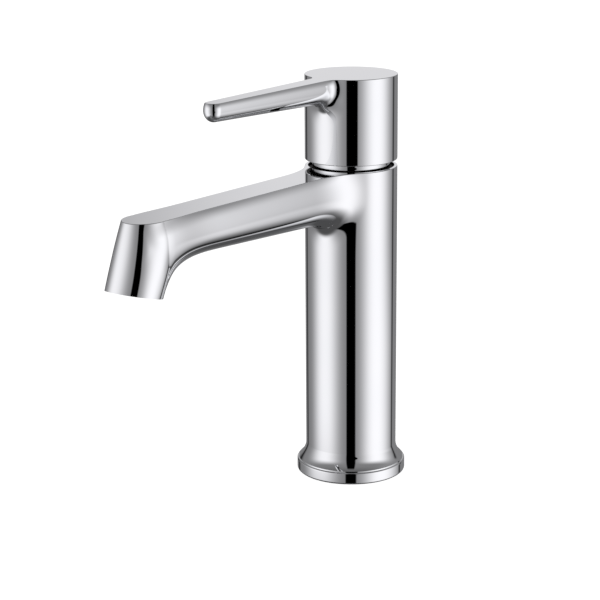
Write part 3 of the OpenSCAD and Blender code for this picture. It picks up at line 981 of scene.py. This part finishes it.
def ramp(value, start, stop, low=0.0, high=1.0):
    """Eases from low to high while the value goes from start to stop."""
    node = tree.nodes.new("ShaderNodeMapRange")
    node.interpolation_type = "SMOOTHSTEP"
    tree.links.new(value, node.inputs["Value"])
    limits = {"From Min": start, "From Max": stop, "To Min": low, "To Max": high}
    for socket, number in limits.items():
        node.inputs[socket].default_value = number
    return node.outputs["Result"]


def product(*values):
    result = values[0]
    for value in values[1:]:
        result = math_node("MULTIPLY", result, value)
    return result


def added(*values):
    result = values[0]
    for value in values[1:]:
        result = math_node("ADD", result, value)
    return result


def bell(value, centre, width):
    """A soft round peak."""
    away = math_node("DIVIDE", math_node("SUBTRACT", value, centre), width)
    return math_node("EXPONENT", math_node("MULTIPLY", math_node("MULTIPLY", away, away), -1.0))


# direction on the dome, in degrees: azimuth from the camera's side, and height
coord = tree.nodes.new("ShaderNodeTexCoord")
split = tree.nodes.new("ShaderNodeSeparateXYZ")
inwards = tree.nodes.new("ShaderNodeVectorMath")
inwards.operation = "NORMALIZE"
tree.links.new(coord.outputs["Object"], inwards.inputs[0])
tree.links.new(inwards.outputs[0], split.inputs[0])
dx, dy, dz = split.outputs
ca, sa = math.cos(CAMERA_AZIMUTH), math.sin(CAMERA_AZIMUTH)
ahead = added(product(dx, sa), product(dy, -ca))
aside = added(product(dx, ca), product(dy, sa))
azimuth = product(math_node("ARCTAN2", aside, ahead), 180 / math.pi)
height = product(math_node("ARCSINE", dz), 180 / math.pi)
away = math_node("ABSOLUTE", azimuth)


def box_light(value, centre, width):
    """A soft-edged light with a broad flat middle."""
    off = math_node("DIVIDE", math_node("ABSOLUTE", math_node("SUBTRACT", value, centre)), width)
    return math_node("EXPONENT", math_node("MULTIPLY", math_node("POWER", off, 2.5), -1.0))


# two big boxes at the sides, a low one, and a card behind, on a faint ambient
ambient = added(ramp(height, 35, 80, 0.20, 0.10), ramp(height, -46, -24, -0.13, 0.0))
left_box = product(box_light(azimuth, -68, 34), ramp(height, 10, 38, 0.72, 0.0), ramp(height, -38, -22))
right_box = product(box_light(azimuth, 66, 36), ramp(height, 9, 34, 0.78, 0.0), ramp(height, -62, -28))
low_box = product(bell(azimuth, 104, 20), ramp(height, -20, -10, 0.17, 0.04), ramp(height, -44, -24))
boxes = added(left_box, right_box, low_box)
card = product(ramp(height, 2, 12, 0.30, 0.48), ramp(height, 35, 60, 1.0, 0.2))
glow = product(ramp(away, 150, 177), ramp(height, -12, 3), card)

# the dark slot round the camera, and two thin dark lines
wider = product(ramp(height, -13, -6, 0.0, 2.4), ramp(height, -1, 4, 1.0, 0.0))
slot = math_node("SUBTRACT", math_node("ABSOLUTE", math_node("SUBTRACT", azimuth, wider)), wider)
dark = product(ramp(slot, 9.6, 13.2, 1.0, 0.0), ramp(height, -45, -35),
               ramp(height, 52, 66, 1.0, 0.0))
left_line = product(bell(azimuth, -144.0, 5.5), ramp(height, 25, 40, 0.96, 0.0))
right_line = product(bell(azimuth, 127.0, 4.5), ramp(height, 5, 15, 0.93, 0.0))
keep = product(math_node("SUBTRACT", 1.0, dark), math_node("SUBTRACT", 1.0, left_line),
               math_node("SUBTRACT", 1.0, right_line))
light = product(added(ambient, boxes, glow), keep, 1.065)
tree.links.new(light, lamp.inputs["Strength"])
lamp.inputs["Color"].default_value = (0.985, 0.978, 1.0, 1)

# ---------------------------------------------------------------- camera


CAMERA_HEIGHT = math.radians(14.514)
CAMERA_DISTANCE = 943.5
CAMERA_TARGET = [0, 0, 100]
AIM_ASIDE = math.radians(-1.527)
AIM_UP = math.radians(-0.748)
ROLL = math.radians(0.028)
SENSOR_WIDTH = 36
FOCAL_LENGTH = 1912.4 / 600 * SENSOR_WIDTH


def turned(a, b, angle):
    """Two axes turned in their own plane."""
    return a * math.cos(angle) + b * math.sin(angle), b * math.cos(angle) - a * math.sin(angle)


back = np.array([math.sin(CAMERA_AZIMUTH) * math.cos(CAMERA_HEIGHT),
                 -math.cos(CAMERA_AZIMUTH) * math.cos(CAMERA_HEIGHT), math.sin(CAMERA_HEIGHT)])
place = (np.array(CAMERA_TARGET) + CAMERA_DISTANCE * back) * MM
ahead = -back
right = np.array([math.cos(CAMERA_AZIMUTH), math.sin(CAMERA_AZIMUTH), 0])
up = np.cross(right, ahead)
ahead, right = turned(ahead, right, AIM_ASIDE)
ahead, up = turned(ahead, up, AIM_UP)
right, up = turned(right, up, ROLL)
camera_data = bpy.data.cameras.new("camera")
camera_data.sensor_width = SENSOR_WIDTH
camera_data.lens = FOCAL_LENGTH
camera_data.clip_start = 0.02
camera_data.clip_end = 60
camera = bpy.data.objects.new("camera", camera_data)
axes = np.eye(4)
axes[:3, 0], axes[:3, 1], axes[:3, 2], axes[:3, 3] = right, up, -ahead, place
camera.matrix_world = Matrix(axes.tolist())
bpy.context.scene.collection.objects.link(camera)
bpy.context.scene.camera = camera
bpy.context.scene.view_settings.view_transform = "Standard"
bpy.context.scene.view_settings.look = "None"
